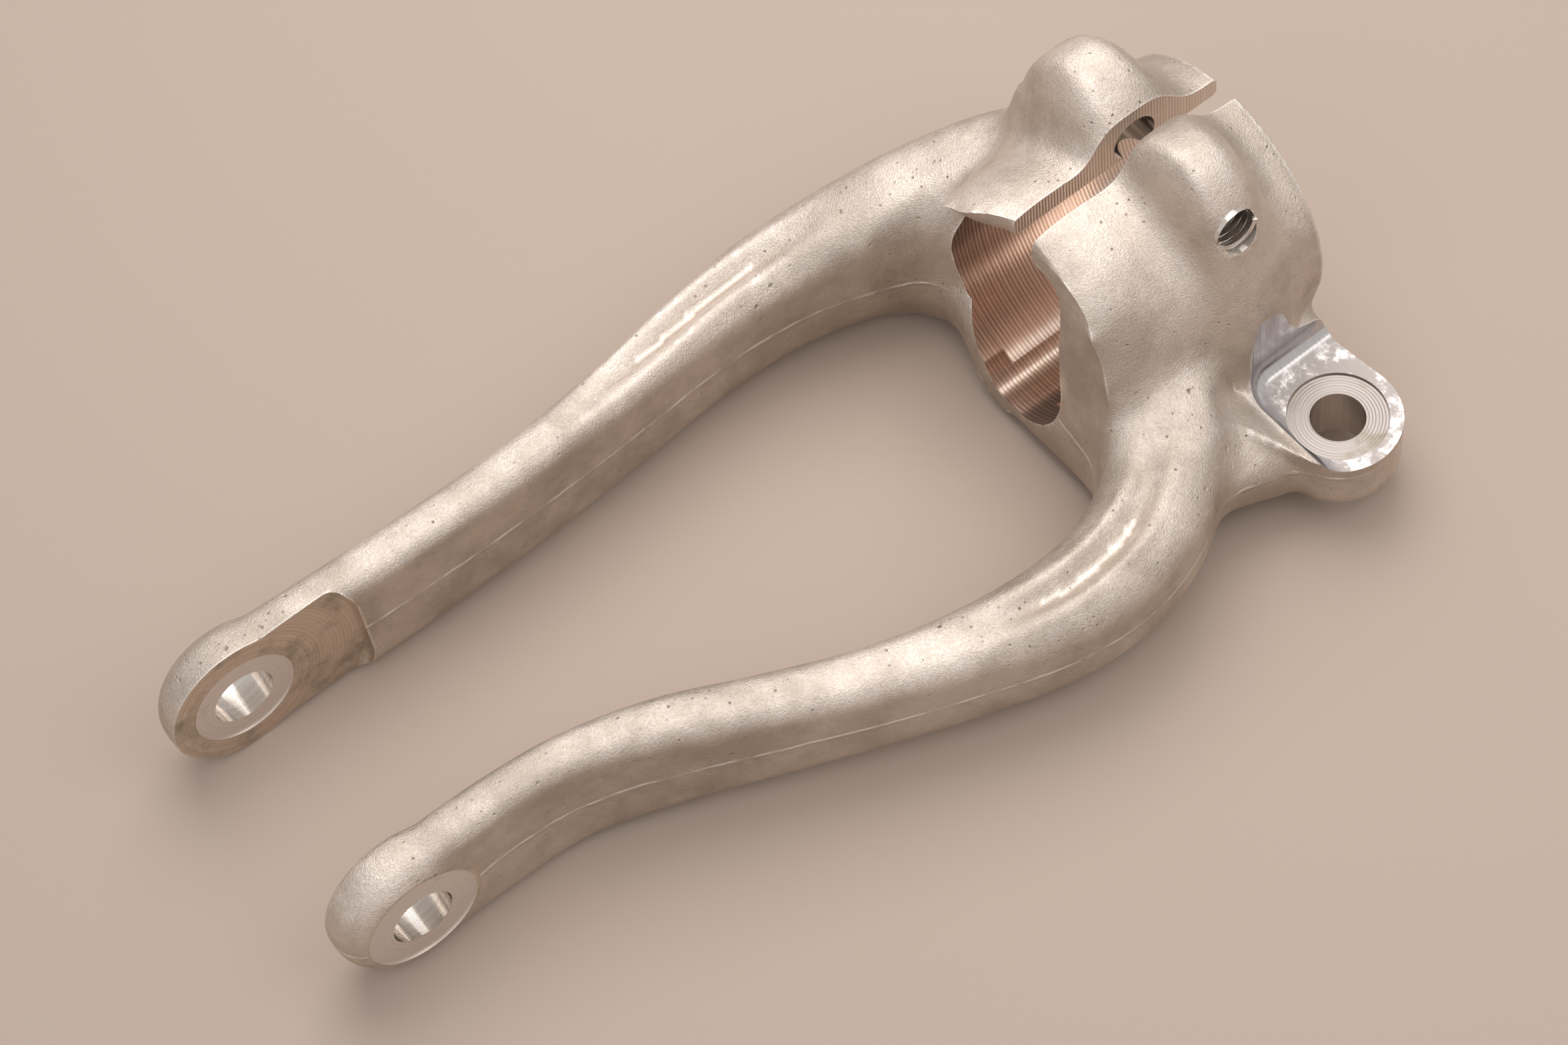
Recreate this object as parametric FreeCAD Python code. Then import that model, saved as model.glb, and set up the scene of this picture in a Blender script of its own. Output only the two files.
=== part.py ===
import FreeCAD, Part
import math
import os

Vector = FreeCAD.Vector

# Damper fork: a one-piece forged fork with a split clamp at one end and two
# bolt eyes at the other. Millimetres. The origin lies on the eye bolt's axis,
# +X runs from the eyes to the clamp, +Y along the eye bolt, +Z along the lug hole.
# The forging parts on the plane z = 0.

# Eyes
eye_hole_diameter = 14.2
eye_outer_radius = 17.6
near_eye_outer_face = -40.0
near_eye_inner_face = -28.2
far_eye_inner_face = 26.4
far_eye_outer_face = 37.2
eye_outer_rim_round = 6.5
eye_inner_rim_round = 3.4
near_ring_radius = 13.2
far_ring_radius = 12.1
contact_ring_depth = 0.3
near_milling_radius = 29.5
near_milling_center_x = -9.0
far_pocket_end_x = 29.0
far_pocket_half_height = 22.0
far_pocket_corner = 14.0
far_pocket_fillet = 2.2

# Clamp barrel
barrel_center_y = -18.0
barrel_center_z = 17.0
barrel_outer_radius = 32.0
bore_radius = 27.0
bore_lip_radius = 26.0
barrel_rim_x = 233.0
bore_shoulder_x = 178.0
barrel_end_x = 171.2
rim_chamfer = 0.8

# Slit, with the relief groove opposite to it
slit_width = 6.4
relief_radius = 15.0
relief_depth = 0.9

# Pinch bolt
pinch_axis_x = 210.4
pinch_axis_z = 48.4
pinch_clearance_diameter = 11.0
pinch_thread_diameter = 10.0
thread_chamfer = 0.8
far_boss_seat = 12.5
bolt_seat_diameter = 18.0

# Humps over the pinch bolt. For each direction from the barrel's axis, in degrees up
# from +Y, the reach of the skin where the humps are full.
full_reach = [
    (0, 38.5), (20, 40.2), (36, 42.6), (47, 45.6), (57, 48.4), (66, 49.4), (74, 47.6), (82, 43.2),
    (90, 38.0), (98, 43.2), (106, 47.6), (114, 48.8), (123, 46.6), (133, 42.9), (146, 38.8),
    (162, 37.0), (180, 37.8), (194, 39.4), (210, 37.6), (230, 32.8), (255, 32.0), (285, 32.0),
    (330, 34.0),
]
# Along the barrel, how full the humps are.
hump_shares = [
    (160.0, 0.0), (174.0, 0.0), (184.0, 0.0), (190.0, 0.03), (194.0, 0.16), (198.0, 0.52),
    (202.0, 0.88), (207.0, 1.0), (213.5, 1.0), (218.0, 0.86), (222.0, 0.46), (225.5, 0.13),
    (228.5, 0.01), (231.0, 0.0), (233.0, 0.0),
]

# Side lug
lug_center_x = 216.3
lug_center_y = -73.0
lug_outer_radius = 13.9
lug_hole_diameter = 12.0
lug_ring_diameter = 22.0
lug_ring_depth = 0.5
lug_face_z = 3.0
lug_bottom_z = -11.5
lug_wall_y = -54.6
lug_wall_fillet = 5.0
lug_milling_left_x = 203.6
lug_milling_corner = 8.0
# The neck between the near leg and the lug, in the same terms as the legs below
lug_neck_stations = [
    (174.0, -57.0, 26.0, 27.0, -15.0, 0.5),
    (189.0, -61.0, 20.5, 24.0, -15.0, -0.6),
    (202.0, -65.6, 19.5, 17.6, -15.0, -2.8),
    (215.0, -70.0, 20.0, 14.8, -14.0, -4.1),
]

# Window through the barrel's lower end, and the wall beside it that closes the bore
window_near_y = -29.0
window_far_y = 9.0
end_wall_x = 173.6
# The far horn's corner towards the slit, seen from above
horn_corner_outline = [(140.0, -3.5), (171.6, -3.5), (178.2, -14.6), (178.8, -18.0), (140.0, -18.0)]
horn_corner_low_z = 30.0
web_bottom_z = -14.0

# Legs: x, y of the middle, width, height, heading in degrees, z of the middle
far_leg_stations = [
    (0.0, 30.0, 10.4, 31.0, 0.0, 0.0),
    (22.0, 28.9, 10.8, 31.5, -2.0, 0.0),
    (48.0, 28.2, 11.3, 31.0, -0.5, 0.0),
    (75.0, 28.4, 11.6, 30.0, 2.0, 0.0),
    (100.0, 30.4, 13.4, 29.0, 5.0, 0.0),
    (122.0, 33.2, 16.2, 29.6, 4.0, 0.0),
    (142.0, 34.0, 18.8, 31.0, -3.0, 0.3),
    (160.0, 31.0, 20.5, 34.5, -13.0, 2.2),
    (178.0, 25.0, 23.0, 39.0, -21.0, 5.0),
    (196.0, 16.5, 24.0, 44.0, -27.0, 7.5),
    (212.0, 7.0, 23.0, 45.0, -31.0, 8.5),
]
near_leg_stations = [
    (0.0, -34.2, 11.2, 31.0, 0.0, 0.0),
    (20.0, -34.0, 10.6, 32.0, -3.0, 0.0),
    (40.0, -35.6, 10.4, 32.5, -13.0, 0.0),
    (60.0, -41.8, 12.6, 31.0, -24.5, 0.0),
    (80.0, -51.0, 13.0, 28.4, -25.0, 0.0),
    (100.0, -59.8, 13.8, 26.6, -23.5, 0.0),
    (120.0, -66.6, 16.6, 26.6, -18.5, 0.0),
    (140.0, -71.0, 21.0, 27.6, -7.0, 0.0),
    (157.0, -70.6, 24.0, 28.0, 10.0, 0.0),
    (172.0, -64.6, 26.0, 29.0, 31.0, 0.5),
    (184.0, -54.0, 28.0, 32.0, 47.0, 2.0),
    (194.0, -40.0, 28.0, 36.0, 57.0, 4.0),
]
leg_corner_share = 0.40

# Shallow flutes on top of each leg and mirrored below: x, y, height of the leg, depth
flute_radius = 5.0
far_flute_run = [
    (82.0, 29.0, 14.8, -1.2), (90.0, 29.7, 14.7, 0.3), (112.0, 32.0, 14.7, 1.8),
    (132.0, 34.2, 15.2, 1.9), (148.0, 33.2, 16.9, 1.0), (159.0, 31.2, 19.2, -1.4),
]
near_flute_run = [
    (120.0, -67.2, 13.3, -1.2), (128.0, -69.4, 13.5, 0.4), (144.0, -71.8, 13.9, 1.8),
    (160.0, -69.8, 14.1, 1.8), (171.0, -64.4, 14.9, 0.9), (178.5, -58.6, 16.3, -1.4),
]


def cylinder_along_y(x, z, radius, y_from, y_to):
    """A round bar along Y."""
    return Part.makeCylinder(radius, y_to - y_from, Vector(x, y_from, z), Vector(0, 1, 0))


def cylinder_along_x(radius, x_from, x_to):
    """A round bar on the barrel's axis."""
    start = Vector(x_from, barrel_center_y, barrel_center_z)
    return Part.makeCylinder(radius, x_to - x_from, start, Vector(1, 0, 0))


def rounded_section(x, y, width, height, heading, z):
    """An upright rounded rectangle, square to the heading."""
    corner = leg_corner_share * min(width, height)
    half_w = width / 2
    half_h = height / 2
    turn = math.radians(heading)
    across = Vector(-math.sin(turn), math.cos(turn), 0)

    def place(u, v):
        return Vector(x, y, z) + across * u + Vector(0, 0, v)

    reach = corner * (1 - math.sqrt(0.5))
    edges = []
    corners = [(1, 1), (-1, 1), (-1, -1), (1, -1)]
    for index, (side, level) in enumerate(corners):
        start_u = half_w if side * level > 0 else half_w - corner
        start_v = half_h - corner if side * level > 0 else half_h
        end_u = half_w - corner if side * level > 0 else half_w
        end_v = half_h if side * level > 0 else half_h - corner
        start = place(side * start_u, level * start_v)
        middle = place(side * (half_w - reach), level * (half_h - reach))
        end = place(side * end_u, level * end_v)
        edges.append(Part.Arc(start, middle, end).toShape())
        next_side, next_level = corners[(index + 1) % 4]
        if side * level > 0:
            following = place(next_side * (half_w - corner), next_level * half_h)
        else:
            following = place(next_side * half_w, next_level * (half_h - corner))
        edges.append(Part.makeLine(end, following))
    return Part.Wire(edges)


def leg(stations):
    """A leg that runs smoothly through its sections."""
    sections = [rounded_section(x, y, w, h, heading, z) for x, y, w, h, heading, z in stations]
    return Part.makeLoft(sections, True, False)


def rounded(shape, edges, radius):
    """The shape with these edges rounded, or with a smaller round where the first won't fit."""
    for share in (1.0, 0.7, 0.4):
        try:
            result = shape.makeFillet(radius * share, edges)
        except Exception:
            continue
        if result.isValid() and result.Volume > 0:
            return result
    return shape


def eye(y_from, y_to, round_from, round_to):
    """The round end of a leg, with its two rims rounded."""
    body = cylinder_along_y(0, 0, eye_outer_radius, y_from, y_to)
    for y, radius in ((y_from, round_from), (y_to, round_to)):
        rims = [edge for edge in body.Edges
                if edge.Closed and abs(edge.BoundBox.YMin - y) < 0.01 and edge.BoundBox.YLength < 0.01]
        body = rounded(body, rims, radius)
    return body


def clamp_section(x, share):
    """The clamp's skin square to the barrel's axis, with the humps this full."""
    points = []
    for angle, reach in full_reach:
        radius = barrel_outer_radius + share * (reach - barrel_outer_radius)
        turn = math.radians(angle)
        points.append(Vector(
            x,
            barrel_center_y + radius * math.cos(turn),
            barrel_center_z + radius * math.sin(turn),
        ))
    curve = Part.BSplineCurve()
    curve.interpolate(points, PeriodicFlag=True)
    return Part.Wire([curve.toShape()])


def end_hollow(y_from, y_to, outline):
    """What lies in front of the barrel's lower end, between two y, from its side view."""
    curve = Part.BSplineCurve()
    curve.interpolate([Vector(x, y_from, z) for x, z in outline])
    first = curve.StartPoint
    last = curve.EndPoint
    front = barrel_end_x - 40
    border = Part.Wire([
        curve.toShape(),
        Part.makeLine(last, Vector(front, y_from, last.z)),
        Part.makeLine(Vector(front, y_from, last.z), Vector(front, y_from, first.z)),
        Part.makeLine(Vector(front, y_from, first.z), first),
    ])
    return Part.Face(border).extrude(Vector(0, y_to - y_from, 0))


def barrel():
    """The clamp's barrel with both humps. Its lower end is hollowed between two horns."""
    sections = [clamp_section(x, share) for x, share in hump_shares]
    body = Part.makeLoft(sections, True, False)
    bottom = barrel_center_z - barrel_outer_radius
    top = barrel_center_z + barrel_outer_radius
    window_side = [
        (barrel_end_x - 0.5, bottom - 4),
        (barrel_end_x, bottom + 4),
        (barrel_end_x + 3.8, bottom + 13.2),
        (barrel_end_x + 8.2, bottom + 15.6),
        (barrel_end_x + 10.4, bottom + 20),
        (barrel_end_x + 11.1, bottom + 30),
        (barrel_end_x + 10.8, bottom + 41),
        (barrel_end_x + 8.0, bottom + 50),
        (barrel_end_x + 3.6, bottom + 55.5),
        (barrel_end_x + 1.2, bottom + 60),
        (barrel_end_x + 1.4, top + 3),
        (barrel_end_x + 3.0, top + 12),
    ]
    wall_side = [
        (end_wall_x - 2.5, bottom - 4),
        (end_wall_x - 1.5, bottom + 4),
        (end_wall_x, bottom + 16),
        (end_wall_x + 0.6, bottom + 34),
        (end_wall_x + 2.0, bottom + 50),
        (end_wall_x + 3.4, top),
        (end_wall_x + 4.4, top + 12),
    ]
    far_side = end_hollow(barrel_center_y, barrel_center_y + 80, window_side)
    near_side = end_hollow(barrel_center_y - 80, barrel_center_y, wall_side)
    body = body.cut(far_side).cut(near_side)
    end_edges = [edge for edge in body.Edges if edge.BoundBox.XMax < barrel_end_x + 14]
    return rounded(body, end_edges, 5.0)


def plate(outline, back, z_from, z_to, round_radius):
    """An upright plate with this plan outline, closed behind through the back points."""
    curve = Part.BSplineCurve()
    curve.interpolate([Vector(x, y, z_from) for x, y in outline])
    corners = [curve.EndPoint] + [Vector(x, y, z_from) for x, y in back] + [curve.StartPoint]
    sides = [Part.makeLine(a, b) for a, b in zip(corners[:-1], corners[1:])]
    body = Part.Face(Part.Wire([curve.toShape()] + sides)).extrude(Vector(0, 0, z_to - z_from))
    long_edges = [edge for edge in body.Edges
                  if edge.BoundBox.ZMax - edge.BoundBox.ZMin < 0.5
                  and edge.Length > 0.9 * curve.length()]
    return rounded(body, long_edges, round_radius)


def web():
    """What ties both legs to the barrel's lower end: a low plate and a taller far corner."""
    low_outline = [
        (150, 33), (158, 24.5), (166, 20.6), (173, 14.8), (176.2, 7.5), (174.6, 0), (172.4, -10),
        (171.2, -22), (171.2, -36), (170.6, -46), (166, -54), (156, -62), (150, -74),
    ]
    low = plate(low_outline, [(190, -60), (190, 20)], web_bottom_z, web_bottom_z + 14, 4.0)
    far_outline = [(165, 25), (169.5, 19.2), (175, 13), (179, 6.5), (182, -2)]
    far_corner = plate(far_outline, [(196, 0), (196, 20)], web_bottom_z + 2, 23.0, 5.0)
    return low.fuse(far_corner)


def lug():
    """The side lug with its foot on the barrel."""
    height = lug_face_z - lug_bottom_z
    eye_bar = Part.makeCylinder(
        lug_outer_radius, height + 6, Vector(lug_center_x, lug_center_y, lug_bottom_z)
    )
    points = [
        Vector(lug_center_x - lug_outer_radius, lug_center_y, 0),
        Vector(lug_center_x - lug_outer_radius - 5, lug_center_y + 7, 0),
        Vector(lug_center_x - 32, barrel_center_y - 30, 0),
        Vector(lug_center_x + 12, barrel_center_y - 20, 0),
        Vector(lug_center_x + 12, lug_wall_y + 4, 0),
        Vector(lug_center_x + lug_outer_radius, lug_center_y, 0),
    ]
    foot = Part.Face(Part.makePolygon(points + points[:1])).extrude(Vector(0, 0, height + 6))
    foot.translate(Vector(0, 0, lug_bottom_z))
    neck = leg(lug_neck_stations)
    body = eye_bar.fuse(foot).removeSplitter()
    edges = [edge for edge in body.Edges if edge.BoundBox.ZMax < lug_bottom_z + 0.1]
    return rounded(body, edges, 3.0).fuse(neck)


def blank():
    """The forging before any machining."""
    body = barrel()
    pieces = [
        leg(far_leg_stations),
        leg(near_leg_stations),
        eye(far_eye_inner_face - 2.5, far_eye_outer_face, eye_inner_rim_round, eye_outer_rim_round),
        eye(near_eye_outer_face - 0.6, near_eye_inner_face, eye_outer_rim_round, eye_inner_rim_round),
        web(),
        lug(),
    ]
    for piece in pieces:
        body = body.fuse(piece)
    return body


def bore_tool():
    """The turned bore: the seat of the damper and the narrower lip below it."""
    seat = cylinder_along_x(bore_radius, bore_shoulder_x, barrel_rim_x + 20)
    chamfer = Part.makeCone(
        bore_radius,
        bore_radius + rim_chamfer + 1,
        rim_chamfer + 1,
        Vector(barrel_rim_x - rim_chamfer, barrel_center_y, barrel_center_z),
        Vector(1, 0, 0),
    )
    groove = Part.makeCylinder(
        relief_radius,
        barrel_rim_x - bore_shoulder_x + 30,
        Vector(
            bore_shoulder_x - 12,
            barrel_center_y,
            barrel_center_z - bore_radius - relief_depth + relief_radius,
        ),
        Vector(1, 0, 0),
    )
    return seat.fuse(chamfer).fuse(groove)


def window_tool():
    """The opening in the barrel's lower end, bounded by the lip's circle."""
    lip = cylinder_along_x(bore_lip_radius, bore_shoulder_x - 30, bore_shoulder_x + 2)
    width = window_far_y + 2 - window_near_y
    slab = Part.makeBox(
        34,
        width,
        2 * bore_radius + 10,
        Vector(bore_shoulder_x - 31, window_near_y, barrel_center_z - bore_radius - 5),
    )
    return lip.common(slab)


def slit_tool():
    """The slit that lets the clamp close."""
    return Part.makeBox(
        barrel_rim_x - bore_shoulder_x + 60,
        slit_width,
        80,
        Vector(bore_shoulder_x - 30, barrel_center_y - slit_width / 2, barrel_center_z),
    )


def pinch_tools():
    """Clearance hole and seat on the far side, tapped hole and face on the near side."""
    middle = barrel_center_y
    clearance = cylinder_along_y(
        pinch_axis_x, pinch_axis_z, pinch_clearance_diameter / 2, middle, far_boss_seat + 40
    )
    seat = cylinder_along_y(
        pinch_axis_x, pinch_axis_z, bolt_seat_diameter / 2, far_boss_seat, far_boss_seat + 40
    )
    near_mouth = barrel_center_y - 30.2
    tapped = cylinder_along_y(
        pinch_axis_x, pinch_axis_z, pinch_thread_diameter / 2, near_mouth - 30, middle
    )
    countersink = Part.makeCone(
        pinch_thread_diameter / 2 + thread_chamfer + 4,
        pinch_thread_diameter / 2 - 0.2,
        thread_chamfer + 4.2,
        Vector(pinch_axis_x, near_mouth - 4, pinch_axis_z),
        Vector(0, 1, 0),
    )
    return [clearance, seat, tapped, countersink]


def lug_tools():
    """The milled face and wall of the lug, its contact ring and its hole."""
    mill = Part.makeBox(60, 60, 20, Vector(lug_milling_left_x, lug_wall_y - 60, lug_face_z))
    upright = [edge for edge in mill.Edges
               if edge.BoundBox.XMax < lug_milling_left_x + 0.01
               and edge.BoundBox.YMin > lug_wall_y - 0.01]
    mill = rounded(mill, upright, lug_milling_corner)
    corner = [edge for edge in mill.Edges
              if edge.BoundBox.YMin > lug_wall_y - lug_milling_corner - 0.01
              and edge.BoundBox.ZMax < lug_face_z + 0.01]
    mill = rounded(mill, corner, lug_wall_fillet)
    ring = Part.makeCylinder(
        lug_ring_diameter / 2,
        lug_ring_depth + 5,
        Vector(lug_center_x, lug_center_y, lug_face_z - lug_ring_depth),
    )
    hole = Part.makeCylinder(
        lug_hole_diameter / 2, 60, Vector(lug_center_x, lug_center_y, lug_bottom_z - 20)
    )
    return [mill, ring, hole]


def eye_tools():
    """The bolt hole through both eyes and the milled faces round it."""
    hole = cylinder_along_y(0, 0, eye_hole_diameter / 2, near_eye_outer_face - 10, far_eye_outer_face + 10)
    near_face = cylinder_along_y(
        near_milling_center_x, 0, near_milling_radius, near_eye_outer_face - 12, near_eye_outer_face
    )
    pocket = Part.makeBox(
        far_pocket_end_x + 40,
        40,
        2 * far_pocket_half_height,
        Vector(-40, far_eye_inner_face - 40, -far_pocket_half_height),
    )
    corners = [edge for edge in pocket.Edges
               if edge.BoundBox.XMin > far_pocket_end_x - 0.01 and edge.BoundBox.YLength > 1]
    pocket = rounded(pocket, corners, far_pocket_corner)
    floor_rim = [edge for edge in pocket.Edges
                 if edge.BoundBox.YMin > far_eye_inner_face - 0.01 and edge.BoundBox.XMax > 0]
    pocket = rounded(pocket, floor_rim, far_pocket_fillet)
    near_ring = cylinder_along_y(
        0, 0, near_ring_radius, near_eye_outer_face - 12, near_eye_outer_face + contact_ring_depth
    )
    far_ring = cylinder_along_y(
        0, 0, far_ring_radius, far_eye_inner_face - 12, far_eye_inner_face + contact_ring_depth
    )
    return [hole, near_face, pocket, near_ring, far_ring]


def horn_corner_tool():
    """What the far horn lacks at its corner towards the slit."""
    corners = [Vector(x, y, horn_corner_low_z) for x, y in horn_corner_outline]
    return Part.Face(Part.makePolygon(corners + corners[:1])).extrude(Vector(0, 0, 60))


def flute_tool(run, side):
    """A shallow groove along a leg, on its top (side 1) or its bottom (side -1)."""
    path = Part.BSplineCurve()
    path.interpolate([Vector(x, y, side * (height + flute_radius - depth)) for x, y, height, depth in run])
    start = path.value(path.FirstParameter)
    tangent = path.tangent(path.FirstParameter)[0]
    circle = Part.Wire([Part.makeCircle(flute_radius, start, tangent)])
    return Part.Wire([path.toShape()]).makePipeShell([circle], True, False)


def damper_fork():
    """The finished fork."""
    body = blank()
    tools = [bore_tool(), window_tool(), slit_tool()]
    tools += pinch_tools() + lug_tools() + eye_tools()
    tools.append(horn_corner_tool())
    for side in (1, -1):
        tools.append(flute_tool(far_flute_run, side))
        tools.append(flute_tool(near_flute_run, side))
    for tool in tools:
        body = body.cut(tool)
    return body


os.makedirs("parts", exist_ok=True)
fork = damper_fork()
fork.exportStep("parts/damper_fork.step")
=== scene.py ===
"""Damper fork as it looks: a worn aluminium forging with turned bores and milled faces.

The forged skin is modelled from the same sizes as the CAD solid, run together into one
closed skin with soft blends, and then machined with exact tools, so that its bores,
slit and faces keep crisp edges. One piece replaces the one CAD node.
"""

from __future__ import annotations

import logging
import math
from dataclasses import dataclass, field
from enum import Enum
from typing import Union

import bmesh
import bpy
import numpy as np
from mathutils import Matrix, Vector


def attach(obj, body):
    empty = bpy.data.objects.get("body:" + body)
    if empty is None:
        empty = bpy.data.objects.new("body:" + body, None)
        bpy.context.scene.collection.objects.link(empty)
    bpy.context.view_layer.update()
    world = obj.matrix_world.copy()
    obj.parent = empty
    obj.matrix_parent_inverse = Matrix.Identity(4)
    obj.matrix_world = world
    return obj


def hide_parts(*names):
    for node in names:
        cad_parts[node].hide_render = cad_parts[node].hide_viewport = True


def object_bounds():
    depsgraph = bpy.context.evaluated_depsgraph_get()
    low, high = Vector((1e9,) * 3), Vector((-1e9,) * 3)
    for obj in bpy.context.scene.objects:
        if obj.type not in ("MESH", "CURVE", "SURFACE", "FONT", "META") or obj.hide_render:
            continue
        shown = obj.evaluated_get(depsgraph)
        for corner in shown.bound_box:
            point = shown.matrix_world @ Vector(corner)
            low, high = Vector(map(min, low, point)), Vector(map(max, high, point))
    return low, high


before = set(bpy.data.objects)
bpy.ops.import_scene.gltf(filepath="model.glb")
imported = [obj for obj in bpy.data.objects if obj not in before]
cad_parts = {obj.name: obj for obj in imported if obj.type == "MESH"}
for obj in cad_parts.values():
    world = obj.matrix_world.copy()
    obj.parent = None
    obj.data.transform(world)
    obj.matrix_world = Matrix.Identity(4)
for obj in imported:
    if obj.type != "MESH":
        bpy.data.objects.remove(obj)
cad_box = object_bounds()

LOG = logging.getLogger("damper_fork")

MM = 0.001
NODE = "damper_fork"
BODY = "root"

Socket = bpy.types.NodeSocket
Value = Union[float, tuple, Socket]


class Surface(Enum):
    """The finishes on the fork, in the order of its material slots."""

    FORGED = 0
    TURNED_BORE = 1
    SAWN = 2
    MILLED = 3
    CLEAN_RING = 4
    LUG_RING = 5
    DRILLED = 6
    LUG_FACE = 7


class Axis(Enum):
    """The frame's axes, as the direction of a tool that is made along +Z."""

    X = (1.0, 0.0, 0.0)
    Y = (0.0, 1.0, 0.0)
    Z = (0.0, 0.0, 1.0)

    def turn(self) -> Matrix:
        """The rotation from +Z to this axis."""
        return Vector((0, 0, 1)).rotation_difference(Vector(self.value)).to_matrix().to_4x4()


# Curves and meshes


def smooth_rows(rows: np.ndarray, count: int) -> np.ndarray:
    """Evenly stepped rows on a smooth curve through the given ones.

    Args:
        rows: One row of numbers for each given station.
        count: How many rows to return.

    Returns:
        The rows, the first and last as given.
    """
    rows = np.asarray(rows, float)
    total = len(rows)
    steps = np.linspace(0, total - 1, count)
    wrapped = np.vstack([2 * rows[:1] - rows[1:2], rows, 2 * rows[-1:] - rows[-2:-1]])
    start = np.minimum(steps.astype(int), total - 2)
    t = (steps - start)[:, None]
    before, here, after, beyond = (wrapped[start + k] for k in range(4))
    return 0.5 * (
        2 * here
        + (after - before) * t
        + (2 * before - 5 * here + 4 * after - beyond) * t**2
        + (3 * here - before - 3 * after + beyond) * t**3
    )


def mesh_object(name: str, bm: bmesh.types.BMesh) -> bpy.types.Object:
    """Turns a bmesh, in millimetres, into an object of the scene, in metres."""
    bmesh.ops.recalc_face_normals(bm, faces=bm.faces[:])
    bmesh.ops.scale(bm, vec=(MM, MM, MM), verts=bm.verts[:])
    mesh = bpy.data.meshes.new(name)
    bm.to_mesh(mesh)
    bm.free()
    piece = bpy.data.objects.new(name, mesh)
    bpy.context.scene.collection.objects.link(piece)
    return piece


def skin_through(name: str, rings: list[list[Vector]]) -> bpy.types.Object:
    """A closed skin bridged from ring to ring, with flat ends.

    Args:
        name: The object's name.
        rings: The rings in order, each with the same number of points.

    Returns:
        The new object.
    """
    bm = bmesh.new()
    loops = []
    for ring in rings:
        made = bmesh.ops.create_circle(bm, segments=len(ring), radius=1.0)["verts"]
        for vert, place in zip(made, ring):
            vert.co = place
        loops.append(list({edge for vert in made for edge in vert.link_edges}))
    for lower, upper in zip(loops[:-1], loops[1:]):
        bmesh.ops.bridge_loops(bm, edges=lower + upper)
    bmesh.ops.holes_fill(bm, edges=loops[0] + loops[-1], sides=0)
    return mesh_object(name, bm)


def upright_plate(
    name: str, outline: list[tuple[float, float]], low: float, high: float, edge_round: float
) -> bpy.types.Object:
    """A plate of one plan outline, with rounded rims.

    Args:
        name: The object's name.
        outline: The plan, as x and y, in order.
        low: The height of the underside.
        high: The height of the top.
        edge_round: The radius of the rims.

    Returns:
        The new object.
    """
    bm = bmesh.new()
    bm.faces.new([bm.verts.new((x, y, low)) for x, y in outline])
    raised = bmesh.ops.extrude_face_region(bm, geom=bm.faces[:])
    moved = [item for item in raised["geom"] if isinstance(item, bmesh.types.BMVert)]
    bmesh.ops.translate(bm, vec=(0, 0, high - low), verts=moved)
    if edge_round > 0:
        rims = [edge for edge in bm.edges if abs(edge.verts[0].co.z - edge.verts[1].co.z) < 1e-6]
        bmesh.ops.bevel(
            bm, geom=rims, offset=edge_round, affect="EDGES", segments=3, profile=0.5, material=-1,
            clamp_overlap=True,
        )
    return mesh_object(name, bm)


def turned(
    name: str, profile: list[tuple[float, float]], centre: Vector, axis: Axis, steps: int = 96
) -> bpy.types.Object:
    """A solid of revolution.

    Args:
        name: The object's name.
        profile: Radius and place along the axis, from one end to the other.
        centre: Where place 0 is.
        axis: The direction of the axis.
        steps: How many facets go round.

    Returns:
        The new object.
    """
    bm = bmesh.new()
    run = [bm.verts.new((0, 0, profile[0][1]))]
    run += [bm.verts.new((radius, 0, place)) for radius, place in profile]
    run.append(bm.verts.new((0, 0, profile[-1][1])))
    edges = [bm.edges.new(pair) for pair in zip(run[:-1], run[1:])]
    bmesh.ops.spin(
        bm, geom=run + edges, cent=(0, 0, 0), axis=(0, 0, 1), angle=2 * math.pi, steps=steps,
        use_merge=True, use_duplicate=False,
    )
    bmesh.ops.remove_doubles(bm, verts=bm.verts[:], dist=1e-4)
    bmesh.ops.transform(bm, matrix=Matrix.Translation(centre) @ axis.turn(), verts=bm.verts[:])
    return mesh_object(name, bm)


def drill(
    name: str, radius: float, centre: Vector, axis: Axis, low: float, high: float, steps: int = 96
) -> bpy.types.Object:
    """A round cutter between two places along its axis."""
    return turned(name, [(radius, low), (radius, high)], centre, axis, steps)


def box_mesh(size: Vector, middle: Vector) -> bmesh.types.BMesh:
    """A plain box of this size round its middle, in millimetres."""
    bm = bmesh.new()
    bmesh.ops.create_cube(bm, size=1.0)
    bmesh.ops.scale(bm, vec=size, verts=bm.verts[:])
    bmesh.ops.translate(bm, vec=middle, verts=bm.verts[:])
    return bm


def round_edges(
    bm: bmesh.types.BMesh, edges: list[bmesh.types.BMEdge], radius: float, segments: int
) -> None:
    """Rounds these edges of a tool."""
    bmesh.ops.bevel(
        bm, geom=edges, offset=radius, affect="EDGES", segments=segments, profile=0.5, material=-1,
    )


def block(name: str, low: Vector, high: Vector) -> bpy.types.Object:
    """A plain box between two corners, used as a saw."""
    return mesh_object(name, box_mesh(high - low, (low + high) / 2))


def ramp(values: np.ndarray, start: float, end: float) -> np.ndarray:
    """0 up to the start, 1 from the end on, and even between. The end may lie below the start."""
    return np.clip((values - start) / (end - start), 0, 1)


def bake_modifiers(piece: bpy.types.Object) -> None:
    """Applies every modifier of a piece to its mesh."""
    graph = bpy.context.evaluated_depsgraph_get()
    graph.update()
    result = bpy.data.meshes.new_from_object(piece.evaluated_get(graph))
    old = piece.data
    piece.modifiers.clear()
    piece.data = result
    bpy.data.meshes.remove(old)


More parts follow.
